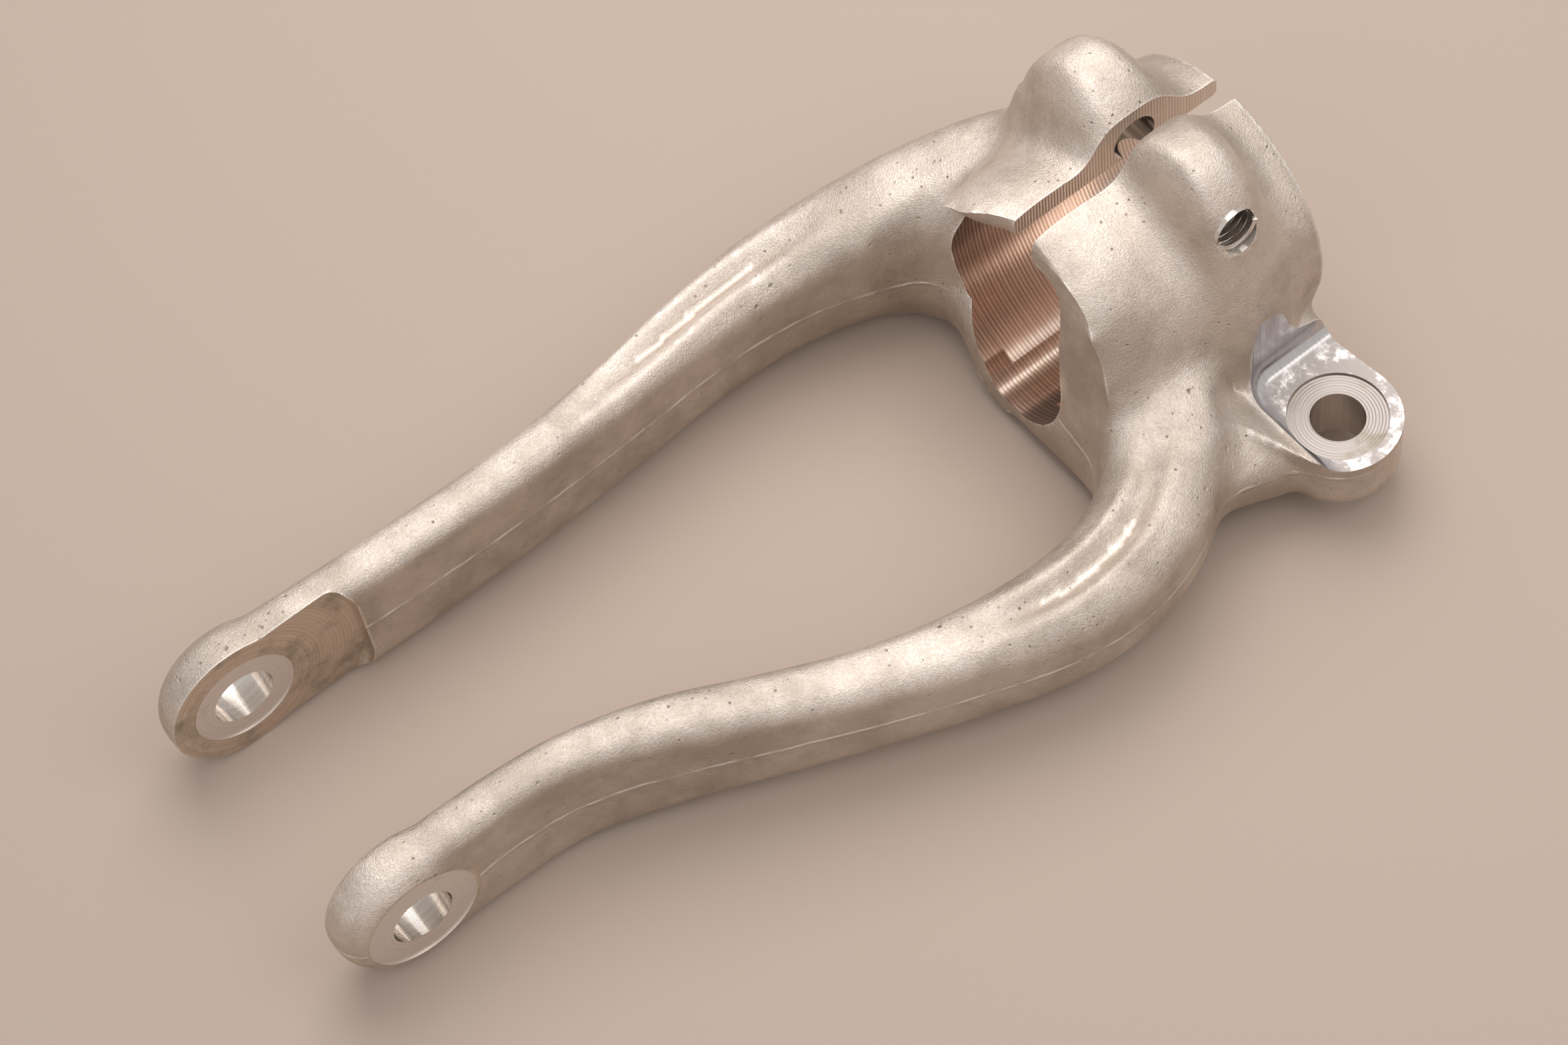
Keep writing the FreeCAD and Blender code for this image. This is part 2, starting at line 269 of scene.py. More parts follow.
def cut(body: bpy.types.Object, tool: bpy.types.Object, surface: Surface | None = None) -> None:
    """Takes the tool's volume out of the body, and removes the tool.

    Args:
        body: The piece that is cut.
        tool: The closed tool.
        surface: The finish that the cut leaves, or None before there are any.
    """
    if surface is not None:
        for own in body.data.materials:
            tool.data.materials.append(own)
        for face in tool.data.polygons:
            face.material_index = surface.value
    step = body.modifiers.new("cut", "BOOLEAN")
    step.operation = "DIFFERENCE"
    step.solver = "MANIFOLD"
    step.object = tool
    bake_modifiers(body)
    bpy.data.objects.remove(tool)


# The forging


@dataclass(frozen=True)
class Station:
    """One upright section of a leg, in millimetres and degrees."""

    x: float
    y: float
    width: float
    height: float
    heading: float
    middle: float

    def row(self) -> tuple[float, ...]:
        """The station as plain numbers."""
        return (self.x, self.y, self.width, self.height, self.heading, self.middle)


@dataclass(frozen=True)
class Leg:
    """A curved leg with a rounded, upright section, and a flute between two low ridges."""

    name: str
    stations: tuple[Station, ...]
    flute: tuple[tuple[float, float, float], ...] = ()
    flute_half_width: float = 3.6
    corner_share: float = 0.40
    arc_steps: int = 7
    length_steps: int = 64

    def section(self, row: np.ndarray) -> list[Vector]:
        """One ring of points round the leg."""
        x, y, width, height, heading, middle = row
        corner = self.corner_share * min(width, height)
        turn = math.radians(heading)
        across = Vector((-math.sin(turn), math.cos(turn), 0))
        centre = Vector((x, y, middle))
        ring = []
        for quarter, (side, level) in enumerate(((1, 1), (-1, 1), (-1, -1), (1, -1))):
            for step in range(self.arc_steps):
                angle = math.pi / 2 * (quarter + step / (self.arc_steps - 1))
                u = side * (width / 2 - corner) + corner * math.cos(angle)
                v = level * (height / 2 - corner) + corner * math.sin(angle)
                ring.append(centre + across * u + Vector((0, 0, v)))
        return ring

    def build(self) -> bpy.types.Object:
        """The leg as a closed skin."""
        rows = smooth_rows(np.array([station.row() for station in self.stations]), self.length_steps)
        return skin_through(self.name, [self.section(row) for row in rows])

    def flute_depth(self, places: np.ndarray) -> np.ndarray:
        """How deep the flute is above or below each of these places.

        Args:
            places: Points in millimetres, one row each.

        Returns:
            The depth at each point, 0 away from the flute.
        """
        run = smooth_rows(np.array(self.flute), 120)
        away = np.hypot(
            places[:, None, 0] - run[None, :, 0],
            places[:, None, 1] - run[None, :, 1],
        )
        nearest = away.argmin(axis=1)
        share = np.clip(away[np.arange(len(places)), nearest] / self.flute_half_width, 0, 2)
        return run[nearest, 2] * np.cos(share * math.pi / 2) * (1 - share**2 / 4) ** 2


FAR_LEG = Leg(
    "far_leg",
    (
        Station(0.0, 30.2, 10.2, 33.0, 0.0, 0.0),
        Station(22.0, 28.9, 10.8, 32.8, -2.0, 0.0),
        Station(48.0, 28.2, 11.3, 31.2, -0.5, 0.0),
        Station(75.0, 28.4, 11.6, 30.0, 2.0, 0.0),
        Station(100.0, 30.4, 13.4, 29.0, 5.0, 0.0),
        Station(122.0, 33.2, 16.2, 29.6, 4.0, 0.0),
        Station(142.0, 34.0, 18.8, 31.0, -3.0, 0.3),
        Station(160.0, 31.0, 20.5, 34.5, -13.0, 2.2),
        Station(178.0, 25.0, 23.0, 39.0, -21.0, 5.0),
        Station(196.0, 16.5, 24.0, 44.0, -27.0, 7.5),
        Station(212.0, 7.0, 23.0, 45.0, -31.0, 8.5),
    ),
    (
        (84.0, 29.2, 0.0), (92.0, 29.8, 0.8), (112.0, 32.0, 2.4), (132.0, 34.2, 2.8),
        (148.0, 33.2, 1.9), (160.0, 31.0, 0.0),
    ),
)

NEAR_LEG = Leg(
    "near_leg",
    (
        Station(0.0, -34.0, 11.0, 33.4, 0.0, 0.0),
        Station(20.0, -34.0, 10.6, 33.6, -3.0, 0.0),
        Station(40.0, -35.6, 10.4, 32.8, -13.0, 0.0),
        Station(60.0, -41.8, 12.6, 31.0, -24.5, 0.0),
        Station(80.0, -51.0, 13.0, 28.4, -25.0, 0.0),
        Station(100.0, -59.8, 13.8, 26.6, -23.5, 0.0),
        Station(120.0, -66.6, 16.6, 26.6, -18.5, 0.0),
        Station(140.0, -71.0, 21.0, 27.6, -7.0, 0.0),
        Station(157.0, -70.6, 24.0, 28.0, 10.0, 0.0),
        Station(172.0, -64.6, 26.0, 29.0, 31.0, 0.5),
        Station(184.0, -54.0, 28.0, 32.0, 47.0, 2.0),
        Station(194.0, -40.0, 28.0, 36.0, 57.0, 4.0),
    ),
    (
        (121.0, -67.4, 0.0), (129.0, -69.4, 1.0), (144.0, -71.6, 2.8), (160.0, -69.6, 2.8),
        (171.0, -64.4, 1.6), (180.0, -57.4, 0.0),
    ),
)

LUG_NECK = Leg(
    "lug_neck",
    (
        Station(172.0, -58.0, 26.0, 27.0, -15.0, 0.5),
        Station(189.0, -62.0, 20.0, 20.0, -15.0, -2.0),
        Station(202.0, -66.4, 19.0, 14.6, -15.0, -4.4),
        Station(215.0, -70.6, 19.6, 14.0, -14.0, -4.6),
    ),
)


@dataclass(frozen=True)
class Clamp:
    """The barrel with its two humps, hollowed at its lower end."""

    centre_y: float = -18.0
    centre_z: float = 17.0
    outer_radius: float = 32.0
    bore_radius: float = 27.0
    lip_radius: float = 26.0
    rim_x: float = 233.0
    rim_chamfer: float = 0.8
    shoulder_x: float = 178.0
    end_x: float = 171.2
    slit_width: float = 6.4
    relief_radius: float = 15.0
    relief_depth: float = 0.9
    window_near_y: float = -29.0
    window_far_y: float = 9.0
    reach: tuple[tuple[float, float], ...] = (
        (0, 38.5), (20, 40.2), (36, 42.6), (47, 45.6), (57, 48.4), (66, 49.4), (74, 47.6),
        (82, 43.2), (90, 38.0), (98, 43.2), (106, 47.6), (114, 48.8), (123, 46.6), (133, 42.9),
        (146, 38.8), (162, 37.0), (180, 37.8), (194, 39.4), (210, 37.6), (230, 32.8), (255, 32.0),
        (285, 32.0), (330, 34.0), (360, 38.5),
    )
    shares: tuple[tuple[float, float], ...] = (
        (150.0, 0.0), (174.0, 0.0), (185.0, 0.0), (191.5, 0.0), (195.0, 0.03), (198.0, 0.22),
        (200.8, 0.64), (203.8, 0.92), (207.2, 1.0), (213.0, 1.0), (217.0, 0.88), (220.5, 0.53),
        (223.5, 0.19), (226.5, 0.03), (229.0, 0.0), (231.0, 0.0), (236.0, 0.0),
    )
    hump_x: float = 210.4
    near_hump_trim: float = 0.4
    window_side: tuple[tuple[float, float], ...] = (
        (170.2, -30.0), (170.9, -16.0), (171.6, -10.0), (172.8, -5.2), (175.4, -2.2), (179.2, 0.2),
        (181.4, 4.6), (182.3, 15.0), (181.6, 26.0), (178.0, 35.0), (173.3, 40.5), (170.8, 45.0),
        (171.0, 52.0), (175.0, 72.0),
    )
    wall_side: tuple[tuple[float, float], ...] = (
        (170.4, -30.0), (171.6, -11.0), (172.2, 1.0), (172.6, 19.0), (173.9, 35.0), (175.6, 49.0),
        (178.0, 72.0),
    )
    horn_corner: tuple[tuple[float, float], ...] = (
        (140.0, -2.5), (169.8, -2.5), (177.0, -14.8), (177.4, -18.0), (140.0, -18.0),
    )
    horn_low_z: float = 30.0
    horn_softness: float = 0.6
    horn_swell: float = 1.5
    near_wall_room: float = 8.0
    forged_radius: float = 25.4

    def skin(self) -> bpy.types.Object:
        """The barrel and the humps as one closed skin."""
        round_trip = smooth_rows(np.array(self.reach), 121)[:-1]
        run = smooth_rows(np.array(self.shares), 80)
        rings = []
        for x, far_share in run:
            behind = max(self.hump_x - x, 0.0)
            near_share = float(np.interp(x - self.near_hump_trim * behind, run[:, 0], run[:, 1]))
            at_end = float(np.interp(x, (150, 186, 196), (self.horn_swell, self.horn_swell, 0)))
            ring = []
            for angle, reach in round_trip:
                share = near_share if 90 < angle < 260 else far_share
                share = min(max(share, 0.0), 1.0)
                radius = self.outer_radius + share * (reach - self.outer_radius)
                radius += at_end * float(np.interp(angle, (30, 50, 130, 150), (0, 1, 1, 0)))
                turn = math.radians(angle)
                ring.append(Vector((
                    min(x, self.rim_x),
                    self.centre_y + radius * math.cos(turn),
                    self.centre_z + radius * math.sin(turn),
                )))
            rings.append(ring)
            if x > self.rim_x:
                break
        return skin_through("clamp_skin", rings)

    def hollow(
        self, name: str, side_view: tuple[tuple[float, float], ...], low_y: float, high_y: float
    ) -> bpy.types.Object:
        """What lies in front of the barrel's lower end, from its side view in x and z."""
        run = smooth_rows(np.array(side_view), 40)
        front = self.end_x - 40
        outline = [(front, run[0][1])] + [tuple(row) for row in run] + [(front, run[-1][1])]
        bm = bmesh.new()
        bm.faces.new([bm.verts.new((x, low_y, z)) for x, z in outline])
        pushed = bmesh.ops.extrude_face_region(bm, geom=bm.faces[:])
        moved = [item for item in pushed["geom"] if isinstance(item, bmesh.types.BMVert)]
        bmesh.ops.translate(bm, vec=(0, high_y - low_y, 0), verts=moved)
        return mesh_object(name, bm)

    def build(self) -> bpy.types.Object:
        """The clamp's skin with its lower end hollowed between the horns."""
        body = self.skin()
        middle = self.centre_y
        cut(body, self.hollow("far_hollow", self.window_side, middle, middle + 80))
        cut(body, self.hollow("near_hollow", self.wall_side, middle - 80, middle))
        cut(body, upright_plate("horn_corner", self.horn_corner, self.horn_low_z, 90, 0))
        room = self.lip_radius - self.forged_radius
        cut(body, self.window_bar("forged_hole", self.forged_radius, self.window_near_y + room, 192))
        return body

    def window_bar(self, name: str, radius: float, near_y: float, end_x: float) -> bpy.types.Object:
        """A round bar in line with the bore, sliced flat at the window's near and far edges."""
        bm = bmesh.new()
        bmesh.ops.create_cone(
            bm, cap_ends=True, segments=180, radius1=radius, radius2=radius, depth=end_x - 145,
        )
        middle = Vector(((end_x + 145) / 2, self.centre_y, self.centre_z))
        bmesh.ops.transform(bm, matrix=Matrix.Translation(middle) @ Axis.X.turn(), verts=bm.verts[:])
        for side, place in ((-1, near_y), (1, self.window_far_y + 2)):
            sliced = bmesh.ops.bisect_plane(
                bm, geom=bm.verts[:] + bm.edges[:] + bm.faces[:],
                plane_co=(0, place, 0), plane_no=(0, side, 0), clear_outer=True,
            )
            rim = [item for item in sliced["geom_cut"] if isinstance(item, bmesh.types.BMEdge)]
            bmesh.ops.holes_fill(bm, edges=rim, sides=0)
        return mesh_object(name, bm)

    def end_share(self, places: np.ndarray) -> np.ndarray:
        """How fully each place, in millimetres, belongs to the rims of the hollowed end."""
        x, y, z = places.T
        reach = np.hypot(y - self.centre_y, z - self.centre_z)
        near_wall = ramp(y, -26, -32) * ramp(z, 46, 40)
        share = ramp(x, 160, 164) * ramp(x, 192, 186) * ramp(z, -12, -8)
        share *= ramp(reach - self.near_wall_room * near_wall, 38, 34)
        return share * (self.horn_softness + (1 - self.horn_softness) * near_wall)

    def machine(self, body: bpy.types.Object) -> None:
        """Turns the bore, and cuts the window, the relief groove and the slit."""
        middle = Vector((0, self.centre_y, self.centre_z))
        bore = turned(
            "bore",
            [
                (self.bore_radius, self.shoulder_x),
                (self.bore_radius, self.rim_x - self.rim_chamfer),
                (self.bore_radius + self.rim_chamfer + 1, self.rim_x + 1),
                (self.bore_radius + self.rim_chamfer + 1, self.rim_x + 20),
            ],
            middle, Axis.X, 180,
        )
        cut(body, bore, Surface.TURNED_BORE)
        window = self.window_bar("window", self.lip_radius, self.window_near_y, self.shoulder_x + 2)
        cut(body, window, Surface.TURNED_BORE)
        groove_z = self.centre_z - self.bore_radius - self.relief_depth + self.relief_radius
        groove = drill(
            "relief_groove", self.relief_radius, Vector((0, self.centre_y, groove_z)), Axis.X,
            self.shoulder_x - 12, self.rim_x + 20, 120,
        )
        cut(body, groove, Surface.TURNED_BORE)
        slit = block(
            "slit",
            Vector((self.shoulder_x - 30, self.centre_y - self.slit_width / 2, self.centre_z)),
            Vector((self.rim_x + 30, self.centre_y + self.slit_width / 2, self.centre_z + 80)),
        )
        cut(body, slit, Surface.SAWN)


@dataclass(frozen=True)
class PinchBolt:
    """The hole across the slit: plain on the far side, tapped on the near side."""

    x: float = 210.4
    z: float = 48.4
    clearance_radius: float = 5.5
    thread_radius: float = 5.0
    crest_radius: float = 4.3
    pitch: float = 1.5
    thread_setback: float = 0.8
    far_seat_y: float = 12.5
    seat_radius: float = 9.0
    near_mouth_y: float = -48.2

    def machine(self, body: bpy.types.Object, slit_y: float) -> None:
        """Drills both humps, and cuts the seat for the bolt's head."""
        middle = Vector((self.x, 0, self.z))
        clearance = drill(
            "clearance", self.clearance_radius, middle, Axis.Y, slit_y, self.far_seat_y + 40
        )
        cut(body, clearance, Surface.DRILLED)
        seat = drill(
            "bolt_seat", self.seat_radius, middle, Axis.Y, self.far_seat_y, self.far_seat_y + 40
        )
        cut(body, seat, Surface.MILLED)
        tap_hole = drill(
            "tap_hole", self.thread_radius, middle, Axis.Y, self.near_mouth_y - 30, slit_y, 72
        )
        cut(body, tap_hole, Surface.DRILLED)

    def thread(self, low_y: float, high_y: float) -> bmesh.types.BMesh:
        """The ridge of the inner thread, seated a little in the hole's wall.

        Args:
            low_y: Where the thread starts.
            high_y: Where it ends.

        Returns:
            The ridge, in metres.
        """
        turns = int((high_y - low_y) / self.pitch) - 1
        facets = 36
        bm = bmesh.new()
        flank = 0.42 * self.pitch
        land = 0.07 * self.pitch
        root = self.thread_radius + 0.12
        corners = [(root, -flank), (root, flank), (self.crest_radius, land), (self.crest_radius, -land)]
        profile = bm.faces.new([bm.verts.new((radius, 0, place)) for radius, place in corners])
        bmesh.ops.spin(
            bm, geom=[profile] + profile.verts[:] + profile.edges[:], cent=(0, 0, 0), axis=(0, 0, 1),
            dvec=(0, 0, self.pitch / facets), angle=2 * math.pi * turns, steps=facets * turns,
            use_merge=False, use_duplicate=False,
        )
        start = Matrix.Translation((self.x, low_y + self.pitch / 2, self.z)) @ Axis.Y.turn()
        bmesh.ops.transform(bm, matrix=start, verts=bm.verts[:])
        bmesh.ops.recalc_face_normals(bm, faces=bm.faces[:])
        bmesh.ops.scale(bm, vec=(MM, MM, MM), verts=bm.verts[:])
        for face in bm.faces:
            face.material_index = Surface.DRILLED.value
        return bm


@dataclass(frozen=True)
class Lug:
    """The side lug for a link, with its milled face and wall."""

    x: float = 216.3
    y: float = -73.0
    outer_radius: float = 13.9
    hole_radius: float = 6.0
    ring_radius: float = 11.0
    ring_depth: float = 0.5
    face_z: float = 3.0
    bottom_z: float = -11.5
    wall_y: float = -54.6
    wall_fillet: float = 5.0
    milling_left_x: float = 203.6
    milling_corner: float = 8.0
    relief_step: float = 0.8
    relief_slope: float = 0.62
    relief_share: float = 0.85

    def build(self, barrel_y: float) -> list[bpy.types.Object]:
        """The lug's eye, its foot on the barrel and its neck to the near leg."""
        height = self.face_z - self.bottom_z + 6
        rounding = 3.0
        eye = turned(
            "lug_eye",
            [
                (self.outer_radius - rounding, 0), (self.outer_radius - 1.1, 0.6),
                (self.outer_radius - 0.3, 1.8), (self.outer_radius, rounding),
                (self.outer_radius, height),
            ],
            Vector((self.x, self.y, self.bottom_z)), Axis.Z, 64,
        )
        foot_outline = [
            (self.x - self.outer_radius, self.y), (self.x - self.outer_radius - 5, self.y + 7),
            (self.x - 32, barrel_y - 30), (self.x + 12, barrel_y - 20), (self.x + 12, self.wall_y),
            (self.x + self.outer_radius, self.y),
        ]
        foot = upright_plate("lug_foot", foot_outline, self.bottom_z, self.bottom_z + height, 2.5)
        return [eye, foot, LUG_NECK.build()]

    def relieved(self, places: np.ndarray) -> np.ndarray:
        """The heights of these places, held low beside the milled face, as the forging is.

        Args:
            places: Points in millimetres, one row each.

        Returns:
            The height of each point.
        """
        x, y, z = places.T
        left = self.milling_left_x
        limit = self.face_z + self.relief_step + self.relief_slope * np.maximum(left + 1 - x, 0)
        share = ramp(z, 16, 10) * ramp(y, self.wall_y + 2, self.wall_y - 1)
        share *= ramp(x, left - 24, left - 18) * ramp(x, left + 6, left)
        return z - self.relief_share * share * np.maximum(z - limit, 0)

    def machine(self, body: bpy.types.Object) -> None:
        """Mills the face and the wall, sinks the contact ring and drills the hole."""
        size = Vector((60, 60, 20))
        corner = Vector((self.milling_left_x, self.wall_y - size.y, self.face_z))
        bm = box_mesh(size, corner + size / 2)
        upright = [
            edge for edge in bm.edges
            if all(vert.co.x < corner.x + 0.01 and vert.co.y > self.wall_y - 0.01 for vert in edge.verts)
        ]
        round_edges(bm, upright, self.milling_corner, 12)
        foot = [
            edge for edge in bm.edges
            if all(vert.co.z < self.face_z + 0.01 for vert in edge.verts)
            and not all(vert.co.x > corner.x + size.x - 0.01 for vert in edge.verts)
            and not all(vert.co.y < corner.y + 0.01 for vert in edge.verts)
        ]
        round_edges(bm, foot, self.wall_fillet, 8)
        cut(body, mesh_object("lug_mill", bm), Surface.LUG_FACE)
        middle = Vector((self.x, self.y, 0))
        ring = drill(
            "lug_ring", self.ring_radius, middle, Axis.Z, self.face_z - self.ring_depth, self.face_z + 5
        )
        cut(body, ring, Surface.LUG_RING)
        hole = drill("lug_hole", self.hole_radius, middle, Axis.Z, self.bottom_z - 20, 40)
        cut(body, hole, Surface.DRILLED)


@dataclass(frozen=True)
class Web:
    """What ties the legs to the barrel's lower end."""

    bottom_z: float = -14.0

    def build(self) -> list[bpy.types.Object]:
        """The low plate and the taller far corner."""
        low_run = smooth_rows(np.array([
            (150, 33), (158, 24.5), (166, 20.6), (173, 14.8), (176.2, 7.5), (174.6, 0), (172.4, -10),
            (171.2, -22), (171.2, -36), (170.6, -46), (166, -54), (156, -62), (150, -74),
        ]), 60)
        low = upright_plate(
            "low_web", [tuple(row) for row in low_run] + [(190, -60), (190, 20)],
            self.bottom_z, self.bottom_z + 14, 3.0,
        )
        far_run = smooth_rows(np.array([(165, 25), (169.5, 19.2), (175, 13), (179, 6.5), (182, -2)]), 24)
        far = upright_plate(
            "far_corner", [tuple(row) for row in far_run] + [(196, 0), (196, 20)],
            self.bottom_z + 2, 18.0, 4.0,
        )
        return [low, far]


@dataclass(frozen=True)
class Eyes:
    """The bolt eyes at the ends of the legs."""

    hole_radius: float = 7.1
    outer_radius: float = 17.6
    near_outer: float = -40.0
    near_inner: float = -28.2
    far_inner: float = 26.4
    far_outer: float = 37.2
    near_ring_radius: float = 13.2
    far_ring_radius: float = 12.1
    ring_depth: float = 0.3
    milling_radius: float = 29.5
    outer_round: float = 6.8
    inner_round: float = 3.2
    pocket_end_x: float = 29.0
    pocket_half_height: float = 22.0
    pocket_corner: float = 14.0
    pocket_fillet: float = 2.2

    def bar(
        self, name: str, low: float, high: float, low_round: float, high_round: float
    ) -> bpy.types.Object:
        """A round bar along the bolt, with rounded rims."""
        steps = [math.radians(angle) for angle in range(0, 91, 15)]
        low_core = self.outer_radius - low_round
        high_core = self.outer_radius - high_round
        profile = [
            (low_core + low_round * math.sin(a), low + low_round * (1 - math.cos(a))) for a in steps
        ]
        profile += [
            (high_core + high_round * math.cos(a), high - high_round * (1 - math.sin(a))) for a in steps
        ]
        return turned(name, profile, Vector((0, 0, 0)), Axis.Y, 96)

    def build(self) -> list[bpy.types.Object]:
        """Both eyes, with stock on the faces that are milled."""
        return [
            self.bar(
                "far_eye", self.far_inner - 2.5, self.far_outer, self.inner_round, self.outer_round
            ),
            self.bar(
                "near_eye", self.near_outer - 0.6, self.near_inner, self.outer_round, self.inner_round
            ),
        ]

    def pocket(self, low_y: float) -> bpy.types.Object:
        """The pocket that is milled into the far leg round its eye, with rounded corners."""
        size = Vector((self.pocket_end_x + 40, self.far_inner - low_y, 2 * self.pocket_half_height))
        corner = Vector((-40, low_y, -self.pocket_half_height))
        bm = box_mesh(size, corner + size / 2)
        ends = [
            edge for edge in bm.edges
            if all(vert.co.x > self.pocket_end_x - 0.01 for vert in edge.verts)
            and abs(edge.verts[0].co.z - edge.verts[1].co.z) < 0.01
        ]
        round_edges(bm, ends, self.pocket_corner, 14)
        floor_rim = [
            edge for edge in bm.edges
            if all(vert.co.y > self.far_inner - 0.01 for vert in edge.verts)
            and any(vert.co.x > -39 for vert in edge.verts)
        ]
        round_edges(bm, floor_rim, self.pocket_fillet, 5)
        return mesh_object("far_pocket", bm)

    def machine(self, body: bpy.types.Object) -> None:
        """Mills the faces, sinks the contact rings and bores the bolt hole."""
        centre = Vector((0, 0, 0))
        between = self.near_inner + 14
        near_face = drill(
            "near_face", self.milling_radius, Vector((-9, 0, 0)), Axis.Y,
            self.near_outer - 12, self.near_outer, 128,
        )
        cut(body, near_face, Surface.MILLED)
        cut(body, self.pocket(between), Surface.MILLED)
        near_ring = drill(
            "near_ring", self.near_ring_radius, centre, Axis.Y,
            self.near_outer - 12, self.near_outer + self.ring_depth,
        )
        cut(body, near_ring, Surface.CLEAN_RING)
        far_ring = drill(
            "far_ring", self.far_ring_radius, centre, Axis.Y, between, self.far_inner + self.ring_depth
        )
        cut(body, far_ring, Surface.CLEAN_RING)
        hole = drill(
            "bolt_hole", self.hole_radius, centre, Axis.Y, self.near_outer - 10, self.far_outer + 10
        )
        cut(body, hole, Surface.DRILLED)


# Finishes


class Board:
    """Adds nodes to one tree and joins them."""

    def __init__(self, tree: bpy.types.NodeTree) -> None:
        """Starts on a tree.

        Args:
            tree: The node tree that is filled.
        """
        self.tree = tree

    def feed(self, socket: Socket, value: Value) -> None:
        """Links a socket, or sets its plain value."""
        if isinstance(value, bpy.types.NodeSocket):
            self.tree.links.new(value, socket)
        elif isinstance(value, tuple) and len(value) == 3 and socket.type == "RGBA":
            socket.default_value = (*value, 1.0)
        else:
            socket.default_value = value

    def add(self, kind: str, values: dict | None = None, **settings: object) -> bpy.types.Node:
        """Adds a node.

        Args:
            kind: The node's type.
            values: What its inputs get, by name or number.
            **settings: Its own settings.

        Returns:
            The new node.
        """
        node = self.tree.nodes.new(kind)
        for name, setting in settings.items():
            setattr(node, name, setting)
        for key, value in (values or {}).items():
            self.feed(node.inputs[key], value)
        return node

    def sum(self, operation: str, *values: Value) -> Socket:
        """The result of a Math node."""
        node = self.add("ShaderNodeMath", dict(enumerate(values)), operation=operation)
        return node.outputs[0]

    def span(self, value: Value, low: float, high: float, start: Value = 0.0, end: Value = 1.0) -> Socket:
        """A value brought smoothly from one range to another, and held within it."""
        node = self.add(
            "ShaderNodeMapRange",
            {"Value": value, "From Min": low, "From Max": high, "To Min": start, "To Max": end},
            interpolation_type="SMOOTHSTEP",
        )
        return node.outputs["Result"]

    def blend(self, share: Value, first: Value, second: Value) -> Socket:
        """Two colours mixed by a share."""
        node = self.add("ShaderNodeMix", {0: share, 6: first, 7: second}, data_type="RGBA")
        return node.outputs[2]

    def noise(self, where: Socket, scale: Value, detail: float, roughness: float = 0.5) -> Socket:
        """The value of a noise texture."""
        node = self.add(
            "ShaderNodeTexNoise",
            {"Vector": where, "Scale": scale, "Detail": detail, "Roughness": roughness},
        )
        return node.outputs["Fac"]


def new_group(name: str, takes: dict[str, float], gives: dict[str, str]) -> bpy.types.NodeTree:
    """An empty shader node group.

    Args:
        name: The group's name.
        takes: Its value inputs and their defaults, after the place in "Where".
        gives: Its outputs and their socket types.

    Returns:
        The group with its sockets.
    """
    tree = bpy.data.node_groups.new(name, "ShaderNodeTree")
    tree.interface.new_socket("Where", in_out="INPUT", socket_type="NodeSocketVector")
    for key, value in takes.items():
        socket = tree.interface.new_socket(key, in_out="INPUT", socket_type="NodeSocketFloat")
        socket.default_value = value
    for key, kind in gives.items():
        tree.interface.new_socket(key, in_out="OUTPUT", socket_type=kind)
    return tree


